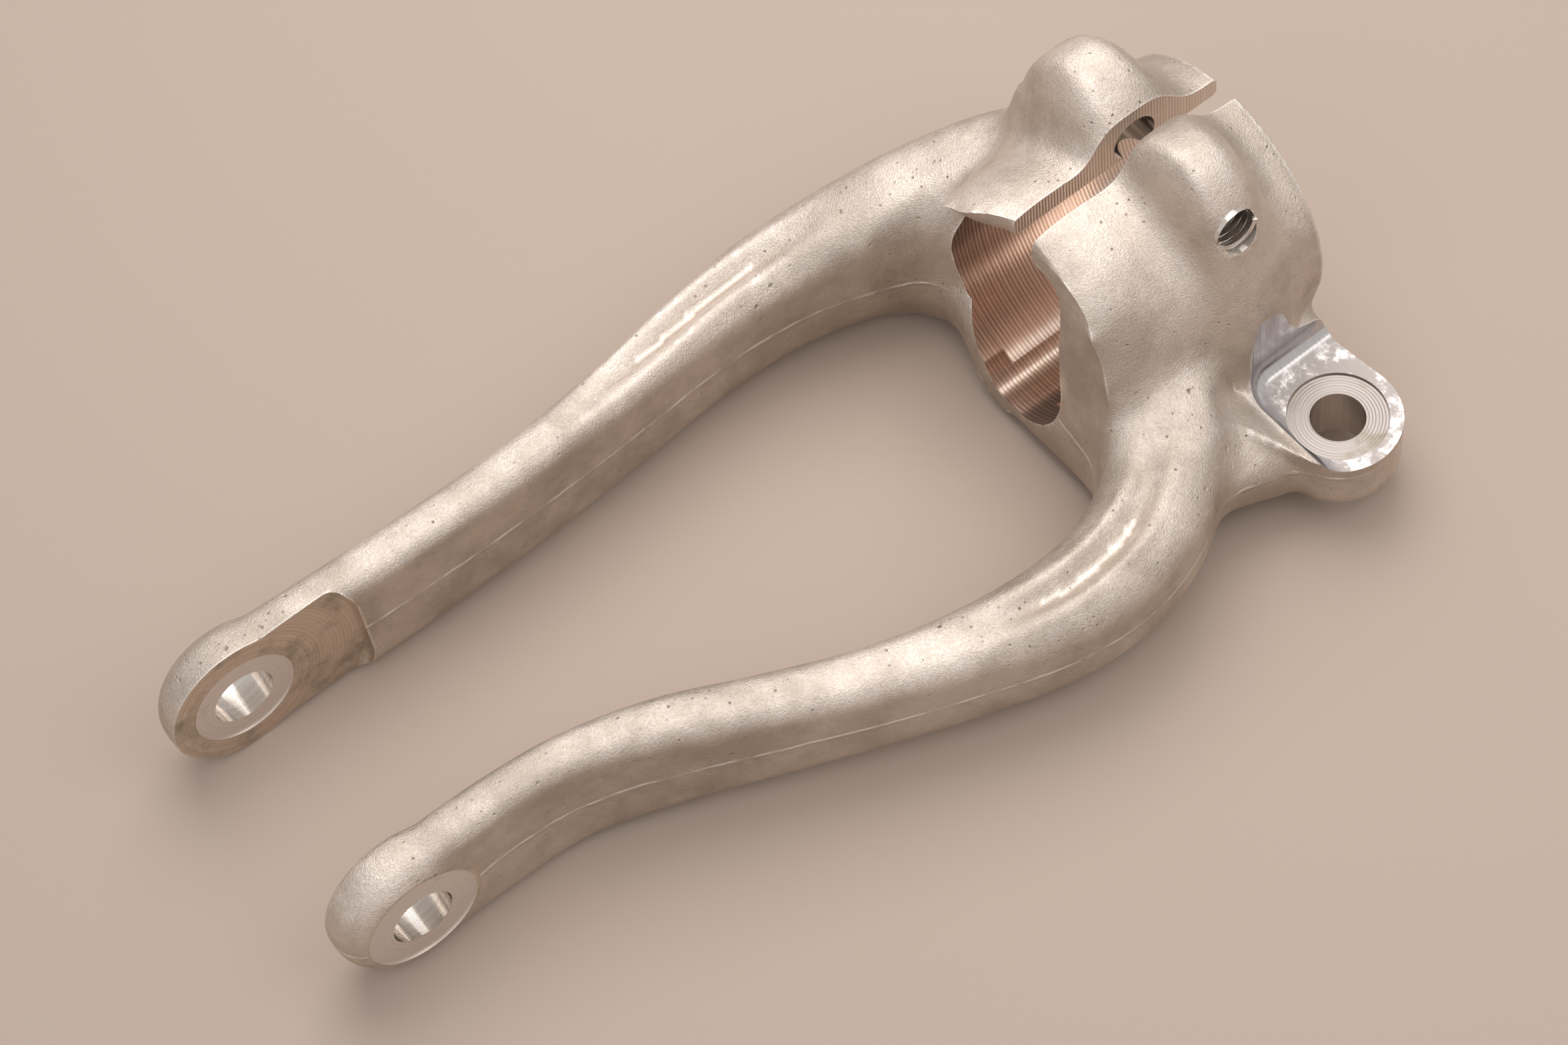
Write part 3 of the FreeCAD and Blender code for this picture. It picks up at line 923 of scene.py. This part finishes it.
class Effects:
    """The shader groups that the finishes share."""

    def __init__(self) -> None:
        """Builds each group once."""
        self.grain = self.make_grain()
        self.pits = self.make_pits()
        self.soil = self.make_soil()
        self.tooling = self.make_tooling()

    @staticmethod
    def make_grain() -> bpy.types.NodeTree:
        """The grain of a blasted forging: fine grit on a slow swell."""
        tree = new_group(
            "blasted_grain", {"Grit": 2600.0, "Swell": 160.0, "Swell Share": 0.5},
            {"Height": "NodeSocketFloat", "Mottle": "NodeSocketFloat", "Fleck": "NodeSocketFloat"},
        )
        board = Board(tree)
        given = board.add("NodeGroupInput").outputs
        fine = board.noise(given["Where"], given["Grit"], 3.0, 0.6)
        slow = board.noise(given["Where"], given["Swell"], 2.0)
        height = board.sum("ADD", fine, board.sum("MULTIPLY", slow, given["Swell Share"]))
        patch = board.noise(given["Where"], board.sum("MULTIPLY", given["Swell"], 0.6), 5.0, 0.65)
        coarse = board.noise(given["Where"], board.sum("MULTIPLY", given["Grit"], 0.6), 2.0)
        fleck = board.span(coarse, 0.38, 0.64)
        board.add("NodeGroupOutput", {"Height": height, "Mottle": patch, "Fleck": fleck})
        return tree

    @staticmethod
    def make_pits() -> bpy.types.NodeTree:
        """Small dark pits of ragged outline, which lie in clusters."""
        tree = new_group(
            "dark_pits", {"Spacing": 420.0, "Size": 0.16, "Kept": 0.5}, {"Mask": "NodeSocketFloat"}
        )
        board = Board(tree)
        given = board.add("NodeGroupInput").outputs
        cells = board.add(
            "ShaderNodeTexVoronoi", {"Vector": given["Where"], "Scale": given["Spacing"]},
            feature="F1",
        )
        chance = board.add("ShaderNodeSeparateColor", {0: cells.outputs["Color"]}).outputs[0]
        cluster = board.span(board.noise(given["Where"], 42.0, 3.0), 0.42, 0.62, 0.15, 1.0)
        kept = board.sum("GREATER_THAN", board.sum("MULTIPLY", given["Kept"], cluster), chance)
        ragged = board.noise(given["Where"], board.sum("MULTIPLY", given["Spacing"], 4.0), 2.0)
        distance = board.sum("ADD", cells.outputs["Distance"], board.sum("MULTIPLY", ragged, 0.22))
        distance = board.sum("MAXIMUM", board.sum("SUBTRACT", distance, 0.11), 0.0)
        share = board.sum("MINIMUM", board.sum("DIVIDE", distance, given["Size"]), 1.0)
        edge = board.sum("SUBTRACT", 1.0, share)
        board.add("NodeGroupOutput", {"Mask": board.sum("MULTIPLY", edge, kept)})
        return tree

    @staticmethod
    def make_soil() -> bpy.types.NodeTree:
        """Stains of grime or oxide in patches."""
        tree = new_group(
            "soil_patches", {"Scale": 60.0, "Cover": 0.5, "Softness": 0.18}, {"Mask": "NodeSocketFloat"}
        )
        board = Board(tree)
        given = board.add("NodeGroupInput").outputs
        patch = board.noise(given["Where"], given["Scale"], 7.0, 0.68)
        bias = board.sum("ADD", patch, board.sum("SUBTRACT", given["Cover"], 0.5))
        share = board.sum("DIVIDE", board.sum("SUBTRACT", bias, 0.5), given["Softness"])
        mask = board.add("ShaderNodeClamp", {"Value": board.sum("ADD", share, 0.5)}).outputs[0]
        board.add("NodeGroupOutput", {"Mask": mask})
        return tree

    @staticmethod
    def make_tooling() -> bpy.types.NodeTree:
        """Fine grooves that a tool leaves at an even pitch, along one measured distance; Line marks the
        groove bottoms, which are painted darker as shade.
        """
        tree = new_group(
            "tool_grooves", {"Distance": 0.0, "Pitch": 0.00055, "Waver": 0.15},
            {"Height": "NodeSocketFloat", "Tone": "NodeSocketFloat", "Line": "NodeSocketFloat"},
        )
        board = Board(tree)
        given = board.add("NodeGroupInput").outputs
        waver = board.sum("MULTIPLY", board.noise(given["Where"], 45.0, 2.0), given["Waver"])
        turns = board.sum("ADD", board.sum("DIVIDE", given["Distance"], given["Pitch"]), waver)
        height = board.sum("SINE", board.sum("MULTIPLY", turns, 2 * math.pi))
        line = board.span(height, -0.9, 0.1, 1.0, 0.0)
        bands = board.add(
            "ShaderNodeTexNoise",
            {"Scale": 1.0, "Detail": 3.0}, noise_dimensions="1D",
        )
        board.feed(bands.inputs["W"], board.sum("MULTIPLY", given["Distance"], 900.0))
        board.add("NodeGroupOutput", {"Height": height, "Tone": bands.outputs["Fac"], "Line": line})
        return tree


@dataclass(frozen=True)
class Finish:
    """What all finishes of the fork have in common."""

    name: str
    colour: tuple[float, float, float]
    dark: tuple[float, float, float]
    rough: tuple[float, float]
    metallic: float = 0.92

    def start(self) -> tuple[bpy.types.Material, Board, bpy.types.Node, Socket]:
        """A material with an empty tree.

        Returns:
            The material, its board, its shader and the object's own coordinates.
        """
        material = bpy.data.materials.new(self.name)
        material.use_nodes = True
        tree = material.node_tree
        tree.nodes.clear()
        board = Board(tree)
        shader = board.add("ShaderNodeBsdfPrincipled", {"Metallic": self.metallic})
        board.add("ShaderNodeOutputMaterial", {"Surface": shader.outputs[0]})
        where = board.add("ShaderNodeTexCoord").outputs["Object"]
        return material, board, shader, where


@dataclass(frozen=True)
class ForgedSkin(Finish):
    """The blasted, weathered skin of the forging, with its parting line, painted shade on its sides and
    painted shade in its creases.
    """

    bright: tuple[float, float, float] = (0.95, 0.90, 0.85)
    # The side colour is the painted shade on faces that turn sideways or down; the grain's flecks take it
    # too.
    side: tuple[float, float, float] = (0.63, 0.54, 0.46)
    # The stain colour is used for real stains and pits, and for painted shade in creases.
    stain_and_shade: tuple[float, float, float] = (0.24, 0.19, 0.14)

    def make(self, effects: Effects) -> bpy.types.Material:
        """The material."""
        material, board, shader, where = self.start()
        grain = board.add("ShaderNodeGroup", node_tree=effects.grain)
        board.feed(grain.inputs["Where"], where)
        small = board.add("ShaderNodeGroup", node_tree=effects.pits)
        large = board.add("ShaderNodeGroup", node_tree=effects.pits)
        for pits, spacing, size, kept in ((small, 560.0, 0.2, 0.5), (large, 190.0, 0.12, 0.4)):
            board.feed(pits.inputs["Where"], where)
            pits.inputs["Spacing"].default_value = spacing
            pits.inputs["Size"].default_value = size
            pits.inputs["Kept"].default_value = kept
        pitted = board.sum("MAXIMUM", small.outputs["Mask"], large.outputs["Mask"])
        soil = board.add("ShaderNodeGroup", node_tree=effects.soil)
        board.feed(soil.inputs["Where"], where)
        soil.inputs["Scale"].default_value = 38.0
        soil.inputs["Cover"].default_value = 0.5
        wear = board.add("ShaderNodeAttribute", attribute_name="wear").outputs["Fac"]
        crease_shade = board.add("ShaderNodeAttribute", attribute_name="crease_shade").outputs["Fac"]
        height = board.add("ShaderNodeSeparateXYZ", {0: where}).outputs["Z"]
        waver = board.sum("MULTIPLY", board.sum("SUBTRACT", board.noise(where, 90.0, 2.0), 0.5), 0.0012)
        off_line = board.sum("ABSOLUTE", board.sum("ADD", height, waver))
        facing = board.add("ShaderNodeNewGeometry").outputs["Normal"]
        slope = board.add("ShaderNodeSeparateXYZ", {0: facing})
        upright = board.span(board.sum("ABSOLUTE", slope.outputs["Z"]), 0.12, 0.35, 1.0, 0.0)
        worn_line = board.span(board.noise(where, 130.0, 3.0), 0.38, 0.6, 0.15, 1.0)
        line = board.sum("MULTIPLY", board.span(off_line, 0.0002, 0.0007, 1.0, 0.0), upright)
        line = board.sum("MULTIPLY", line, worn_line)
        tone = board.blend(grain.outputs["Mottle"], self.dark, self.colour)
        # Painted shade: faces that turn sideways or down are blended toward the darker side colour.
        side_shade_share = board.span(slope.outputs["Z"], 0.1, 0.6, 0.75, 0.0)
        tone = board.blend(side_shade_share, tone, self.side)
        tone = board.blend(board.sum("MULTIPLY", grain.outputs["Fleck"], 0.5), tone, self.side)
        # Painted shade in creases: the crease depth darkens the skin toward the stain colour, along with
        # the real soil patches.
        darkening = board.sum("MULTIPLY", board.sum("MAXIMUM", soil.outputs["Mask"], crease_shade), 0.4)
        tone = board.blend(darkening, tone, self.stain_and_shade)
        tone = board.blend(board.sum("MULTIPLY", pitted, 0.7), tone, self.stain_and_shade)
        light = board.sum("MAXIMUM", board.sum("MULTIPLY", line, 0.5), board.sum("MULTIPLY", wear, 0.65))
        tone = board.blend(light, tone, self.bright)
        board.feed(shader.inputs["Base Color"], tone)
        rough = board.span(grain.outputs["Mottle"], 0.3, 0.7, self.rough[1], self.rough[0])
        polish = board.sum("MULTIPLY", light, 0.12)
        board.feed(shader.inputs["Roughness"], board.sum("SUBTRACT", rough, polish))
        raised = board.sum("SUBTRACT", grain.outputs["Height"], board.sum("MULTIPLY", pitted, 1.4))
        raised = board.sum("ADD", raised, board.sum("MULTIPLY", line, 1.5))
        bump = board.add("ShaderNodeBump", {"Height": raised, "Strength": 0.8, "Distance": 0.0003})
        board.feed(shader.inputs["Normal"], bump.outputs["Normal"])
        return material


@dataclass(frozen=True)
class MachinedFace(Finish):
    """A face cut by a tool, with its grooves, painted shade in the groove bottoms, and the soil that sits
    on it.
    """

    axis: Axis = Axis.X
    centre: tuple[float, float, float] = (0.0, 0.0, 0.0)
    radial: bool = False
    pitch: float = 0.55
    groove: float = 0.5
    groove_shade_share: float = 0.15
    grit: float = 0.5
    cover: float = 0.35
    soil_scale: float = 90.0
    clean_above_z: float = 1000.0
    # The stain colour is used for the soil, and for painted shade in the groove bottoms.
    stain_and_shade: tuple[float, float, float] = (0.30, 0.25, 0.19)

    def make(self, effects: Effects) -> bpy.types.Material:
        """The material."""
        material, board, shader, where = self.start()
        moved = board.add(
            "ShaderNodeMapping",
            {"Vector": where, "Location": tuple(-value * MM for value in self.centre)},
        ).outputs[0]
        parts = board.add("ShaderNodeSeparateXYZ", {0: moved}).outputs
        along = parts[self.axis.name]
        if self.radial:
            others = [parts[axis.name] for axis in Axis if axis is not self.axis]
            squares = [board.sum("MULTIPLY", other, other) for other in others]
            along = board.sum("SQRT", board.sum("ADD", *squares))
        tooling = board.add("ShaderNodeGroup", node_tree=effects.tooling)
        board.feed(tooling.inputs["Where"], where)
        board.feed(tooling.inputs["Distance"], along)
        tooling.inputs["Pitch"].default_value = self.pitch * MM
        soil = board.add("ShaderNodeGroup", node_tree=effects.soil)
        board.feed(soil.inputs["Where"], where)
        soil.inputs["Scale"].default_value = self.soil_scale
        soil.inputs["Cover"].default_value = self.cover
        level = board.add("ShaderNodeSeparateXYZ", {0: where}).outputs["Z"]
        clean_from = self.clean_above_z * MM
        darkening = board.span(level, clean_from, clean_from + 0.0006, 1.0, 0.0)
        darkening = board.sum("MULTIPLY", darkening, soil.outputs["Mask"])
        tone = board.blend(tooling.outputs["Tone"], self.dark, self.colour)
        # Painted shade: the groove bottoms are blended toward the stain colour.
        groove_shade = board.sum("MULTIPLY", tooling.outputs["Line"], self.groove_shade_share)
        tone = board.blend(groove_shade, tone, self.stain_and_shade)
        tone = board.blend(board.sum("MULTIPLY", darkening, 0.8), tone, self.stain_and_shade)
        board.feed(shader.inputs["Base Color"], tone)
        rough = board.span(darkening, 0.0, 1.0, self.rough[0], self.rough[1])
        board.feed(shader.inputs["Roughness"], rough)
        grit = board.noise(where, 3500.0, 2.0)
        raised = board.sum("ADD", tooling.outputs["Height"], board.sum("MULTIPLY", grit, self.grit))
        bump = board.add(
            "ShaderNodeBump", {"Height": raised, "Strength": self.groove, "Distance": 0.00005}
        )
        board.feed(shader.inputs["Normal"], bump.outputs["Normal"])
        return material


# The fork


@dataclass
class DamperFork:
    """The whole fork: forged from its parts, run together, then machined."""

    voxel: float = 1.05
    crease_rounds: int = 60
    end_rounds: int = 140
    easing_rounds: int = 8
    pull_share: float = 0.9
    clamp: Clamp = field(default_factory=Clamp)
    pinch: PinchBolt = field(default_factory=PinchBolt)
    lug: Lug = field(default_factory=Lug)
    web: Web = field(default_factory=Web)
    eyes: Eyes = field(default_factory=Eyes)
    legs: tuple[Leg, ...] = (FAR_LEG, NEAR_LEG)

    def forge(self) -> bpy.types.Object:
        """The forging before any machining, as one closed skin."""
        parts = [self.clamp.build()] + [leg.build() for leg in self.legs]
        parts += self.web.build() + self.eyes.build() + self.lug.build(self.clamp.centre_y)
        bm = bmesh.new()
        for part in parts:
            bm.from_mesh(part.data)
            bpy.data.objects.remove(part)
        mesh = bpy.data.meshes.new("damper_fork_dressed")
        bm.to_mesh(mesh)
        bm.free()
        body = bpy.data.objects.new("damper_fork_dressed", mesh)
        bpy.context.scene.collection.objects.link(body)
        join = body.modifiers.new("run_together", "REMESH")
        join.mode = "VOXEL"
        join.voxel_size = self.voxel * MM
        bake_modifiers(body)
        return body

    def blend(self, body: bpy.types.Object) -> None:
        """Fills the creases where the parts meet, and rounds the rims of the hollowed end.

        Then the whole skin is eased without shrinking it, fluted, and held in the CAD box.

        Args:
            body: The skin.
        """
        mesh = body.data
        count = len(mesh.vertices)
        place = np.empty(count * 3)
        mesh.vertices.foreach_get("co", place)
        place = place.reshape(-1, 3)
        pairs = np.empty(len(mesh.edges) * 2, int)
        mesh.edges.foreach_get("vertices", pairs)
        pairs = pairs.reshape(-1, 2)
        degree = np.bincount(pairs.ravel(), minlength=count)[:, None]
        for turn in range(self.crease_rounds):
            if turn % 3 == 0:
                normal = self.normals(mesh, place)
            pull = self.neighbour_mean(place, pairs, degree) - place
            outward = (pull * normal).sum(1, keepdims=True)
            fill = np.clip((46 - place[:, 2:] / MM) / 14, 0.25, 1) * self.pull_share
            place = place + np.where(outward > 0, fill, 0.0) * outward * normal
        place[:, 2] = self.lug.relieved(place / MM) * MM
        share = self.clamp.end_share(place / MM)[:, None]
        for turn in range(self.end_rounds):
            if turn % 3 == 0:
                normal = self.normals(mesh, place)
            pull = self.neighbour_mean(place, pairs, degree) - place
            inward = np.minimum((pull * normal).sum(1, keepdims=True), 0)
            place = place + self.pull_share * share * inward * normal
        for turn in range(self.easing_rounds):
            pull = self.neighbour_mean(place, pairs, degree) - place
            place = place + (0.5 if turn % 2 == 0 else -0.52) * pull
        low, high = (np.array(corner) for corner in cad_box)
        place = np.clip(self.fluted(mesh, place), low, high)
        mesh.vertices.foreach_set("co", place.ravel())
        mesh.update()

    def fluted(self, mesh: bpy.types.Mesh, place: np.ndarray) -> np.ndarray:
        """The skin with the legs' flutes pressed into its top and bottom."""
        normal = self.normals(mesh, place)
        facing = np.clip((np.abs(normal[:, 2]) - 0.3) / 0.4, 0, 1) * np.sign(normal[:, 2])
        close = np.flatnonzero((place[:, 0] > 80 * MM) & (place[:, 0] < 182 * MM) & (facing != 0))
        moved = place.copy()
        for leg in self.legs:
            depth = leg.flute_depth(place[close] / MM)
            moved[close, 2] -= depth * facing[close] * MM
        return moved

    @staticmethod
    def neighbour_mean(place: np.ndarray, pairs: np.ndarray, degree: np.ndarray) -> np.ndarray:
        """The mean place of each point's neighbours."""
        total = np.zeros_like(place)
        for axis in range(3):
            total[:, axis] = np.bincount(pairs[:, 0], place[pairs[:, 1], axis], len(place))
            total[:, axis] += np.bincount(pairs[:, 1], place[pairs[:, 0], axis], len(place))
        return total / degree

    @staticmethod
    def normals(mesh: bpy.types.Mesh, place: np.ndarray) -> np.ndarray:
        """The mesh's point normals for these places."""
        mesh.vertices.foreach_set("co", place.ravel())
        mesh.update()
        normal = np.empty(len(place) * 3)
        mesh.vertex_normals.foreach_get("vector", normal)
        return normal.reshape(-1, 3)

    def finishes(self) -> list[bpy.types.Material]:
        """The materials, in the order of Surface."""
        effects = Effects()
        clamp = self.clamp
        barrel = (0.0, clamp.centre_y, clamp.centre_z)
        made = {
            Surface.FORGED: ForgedSkin(
                "forged_skin", (0.90, 0.81, 0.75), (0.70, 0.61, 0.55), (0.38, 0.54)
            ),
            Surface.TURNED_BORE: MachinedFace(
                "turned_bore", (0.96, 0.82, 0.74), (0.60, 0.47, 0.40), (0.20, 0.32), centre=barrel,
                pitch=0.95, groove=0.12, groove_shade_share=0.55, grit=0.02, cover=0.12, stain_and_shade=(0.34, 0.24, 0.18),
            ),
            Surface.SAWN: MachinedFace(
                "sawn_slit", (0.88, 0.78, 0.70), (0.70, 0.60, 0.52), (0.4, 0.5), axis=Axis.X, pitch=0.8,
                cover=0.25,
            ),
            Surface.MILLED: MachinedFace(
                "milled_face", (0.78, 0.66, 0.56), (0.60, 0.49, 0.39), (0.42, 0.6), axis=Axis.Y,
                radial=True, pitch=0.9, groove=0.2, cover=0.42,
            ),
            Surface.CLEAN_RING: MachinedFace(
                "clean_ring", (0.88, 0.82, 0.78), (0.72, 0.66, 0.61), (0.42, 0.6), axis=Axis.Y,
                radial=True, pitch=0.5, groove=0.15, cover=0.3, stain_and_shade=(0.46, 0.42, 0.38),
            ),
            Surface.LUG_RING: MachinedFace(
                "lug_ring", (0.36, 0.33, 0.32), (0.24, 0.22, 0.21), (0.32, 0.5), axis=Axis.Z,
                centre=(self.lug.x, self.lug.y, 0.0), radial=True, pitch=0.7, groove=0.25, cover=0.4,
            ),
            Surface.DRILLED: MachinedFace(
                "drilled_hole", (0.86, 0.80, 0.75), (0.6, 0.55, 0.5), (0.12, 0.35), axis=Axis.Y, pitch=0.3,
                groove=0.2, cover=0.25,
            ),
            Surface.LUG_FACE: MachinedFace(
                "lug_face", (0.66, 0.63, 0.63), (0.50, 0.47, 0.47), (0.16, 0.6), axis=Axis.X, pitch=1.1,
                groove=0.08, groove_shade_share=0.0, cover=0.56, soil_scale=240.0, stain_and_shade=(0.44, 0.40, 0.38),
                clean_above_z=self.lug.face_z + 0.3,
            ),
        }
        return [made[surface].make(effects) for surface in Surface]

    def machine(self, body: bpy.types.Object) -> None:
        """Cuts every machined surface."""
        self.clamp.machine(body)
        self.pinch.machine(body, self.clamp.centre_y)
        self.lug.machine(body)
        self.eyes.machine(body)

    def add_thread(self, body: bpy.types.Object) -> None:
        """Lays the ridge of the pinch bolt's thread in its hole."""
        ridge = self.pinch.thread(
            self.pinch.near_mouth_y + self.pinch.thread_setback,
            self.clamp.centre_y - self.clamp.slit_width / 2,
        )
        part = bpy.data.meshes.new("thread")
        ridge.to_mesh(part)
        ridge.free()
        bm = bmesh.new()
        bm.from_mesh(body.data)
        bm.from_mesh(part)
        bm.to_mesh(body.data)
        bm.free()
        bpy.data.meshes.remove(part)

    def mark_wear(self, body: bpy.types.Object) -> None:
        """Notes how near each point is to a cut edge, and how deep it lies in a crease, which the skin
        uses for painted crease shade.
        """
        mesh = body.data
        mesh.set_sharp_from_angle(angle=math.radians(32))
        for face in mesh.polygons:
            face.use_smooth = True
        bm = bmesh.new()
        bm.from_mesh(mesh)
        wear = bm.verts.layers.float.new("wear")
        crease_shade = bm.verts.layers.float.new("crease_shade")
        bm.normal_update()
        for vert in bm.verts:
            if any(not edge.smooth for edge in vert.link_edges):
                vert[wear] = 1.0
                continue
            mean = sum((edge.other_vert(vert).co for edge in vert.link_edges), Vector())
            mean /= max(len(vert.link_edges), 1)
            rise = (mean - vert.co).dot(vert.normal)
            # The crease depth, used by the skin as painted shade.
            vert[crease_shade] = min(max(rise / MM * 9, 0.0), 1.0)
        bm.to_mesh(mesh)
        bm.free()

    def build(self) -> bpy.types.Object:
        """The finished fork."""
        body = self.forge()
        LOG.info("forged skin: %d faces", len(body.data.polygons))
        self.blend(body)
        for material in self.finishes():
            body.data.materials.append(material)
        self.machine(body)
        LOG.info("machined: %d faces", len(body.data.polygons))
        self.add_thread(body)
        self.mark_wear(body)
        return body


# The studio


@dataclass(frozen=True)
class Studio:
    """A pale floor, a soft key, two weaker lamps and a pale surround."""

    floor_z: float = -17.65
    floor_colour: tuple[float, float, float] = (0.60, 0.49, 0.42)
    key_power: float = 3.1
    front_power: float = 0.9
    fill_power: float = 0.3

    def floor(self) -> bpy.types.Object:
        """The plain floor that the fork lies on."""
        bm = bmesh.new()
        bmesh.ops.create_grid(bm, x_segments=1, y_segments=1, size=3000)
        bmesh.ops.translate(bm, vec=(100, 0, self.floor_z), verts=bm.verts[:])
        ground = mesh_object("floor", bm)
        material = bpy.data.materials.new("pale_floor")
        material.use_nodes = True
        shader = material.node_tree.nodes["Principled BSDF"]
        shader.inputs["Base Color"].default_value = (*self.floor_colour, 1.0)
        shader.inputs["Roughness"].default_value = 0.85
        ground.data.materials.append(material)
        return ground

    def lamp(
        self, name: str, place: Vector, aim: Vector, size: float, power: float,
        colour: tuple[float, float, float],
    ) -> None:
        """One square soft light, in millimetres.

        Args:
            name: The light's name.
            place: Where it stands.
            aim: What it points at.
            size: The length of its side.
            power: Its power in watts.
            colour: Its colour.
        """
        data = bpy.data.lights.new(name, "AREA")
        data.shape = "SQUARE"
        data.size = size * MM
        data.energy = power
        data.color = colour
        light = bpy.data.objects.new(name, data)
        light.location = place * MM
        light.rotation_euler = (aim - place).to_track_quat("-Z", "Y").to_euler()
        bpy.context.scene.collection.objects.link(light)

    def surround(self) -> None:
        """A pale world, seen by the camera and by reflections."""
        world = bpy.data.worlds.new("surround")
        bpy.context.scene.world = world
        world.use_nodes = True
        tree = world.node_tree
        tree.nodes.clear()
        board = Board(tree)
        path = board.add("ShaderNodeLightPath").outputs
        seen = board.sum("MAXIMUM", path["Is Camera Ray"], path["Is Transmission Ray"])
        seen = board.sum("MAXIMUM", seen, board.sum("MULTIPLY", path["Is Glossy Ray"], 0.6))
        strength = board.span(seen, 0.0, 1.0, 0.40, 0.95)
        shade = board.add("ShaderNodeBackground", {"Color": (0.95, 0.93, 0.91, 1.0), "Strength": strength})
        board.add("ShaderNodeOutputWorld", {"Surface": shade.outputs[0]})

    def build(self) -> None:
        """The floor, the lights and the surround."""
        self.floor()
        aim = Vector((130, -15, 10))
        self.lamp("key", aim + Vector((170, 290, 630)), aim, 600, self.key_power, (1.0, 0.95, 0.9))
        self.lamp("front", aim + Vector((200, -330, 560)), aim, 460, self.front_power, (1.0, 0.96, 0.92))
        self.lamp("fill", aim + Vector((-420, -200, 480)), aim, 420, self.fill_power, (0.96, 0.98, 1.0))
        self.surround()


@dataclass(frozen=True)
class Viewpoint:
    """The photograph's camera, from the ellipses of the bores."""

    place: tuple[float, float, float] = (-82.9998, -366.8316, 660.1305)
    right: tuple[float, float, float] = (0.78602, -0.61104, -0.09378)
    down: tuple[float, float, float] = (-0.56437, -0.64737, -0.51224)
    forward: tuple[float, float, float] = (0.25229, 0.45556, -0.85370)
    lens: float = 83.505

    def build(self) -> None:
        """The scene's camera."""
        data = bpy.data.cameras.new("photo_camera")
        data.sensor_width = 36.0
        data.lens = self.lens
        camera = bpy.data.objects.new("photo_camera", data)
        turn = Matrix((self.right, -Vector(self.down), -Vector(self.forward))).transposed()
        camera.matrix_world = Matrix.Translation(Vector(self.place) * MM) @ turn.to_4x4()
        bpy.context.scene.collection.objects.link(camera)
        bpy.context.scene.camera = camera


def main() -> None:
    """Builds the fork, its finishes, the light and the camera."""
    logging.basicConfig(level=logging.INFO, format="%(name)s: %(message)s")
    Viewpoint().build()
    fork = DamperFork().build()
    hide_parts(NODE)
    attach(fork, BODY)
    LOG.info("damper fork: %d points, %d faces", len(fork.data.vertices), len(fork.data.polygons))
    Studio().build()
    bpy.context.scene.view_settings.view_transform = "Standard"


if __name__ == "__main__":
    main()
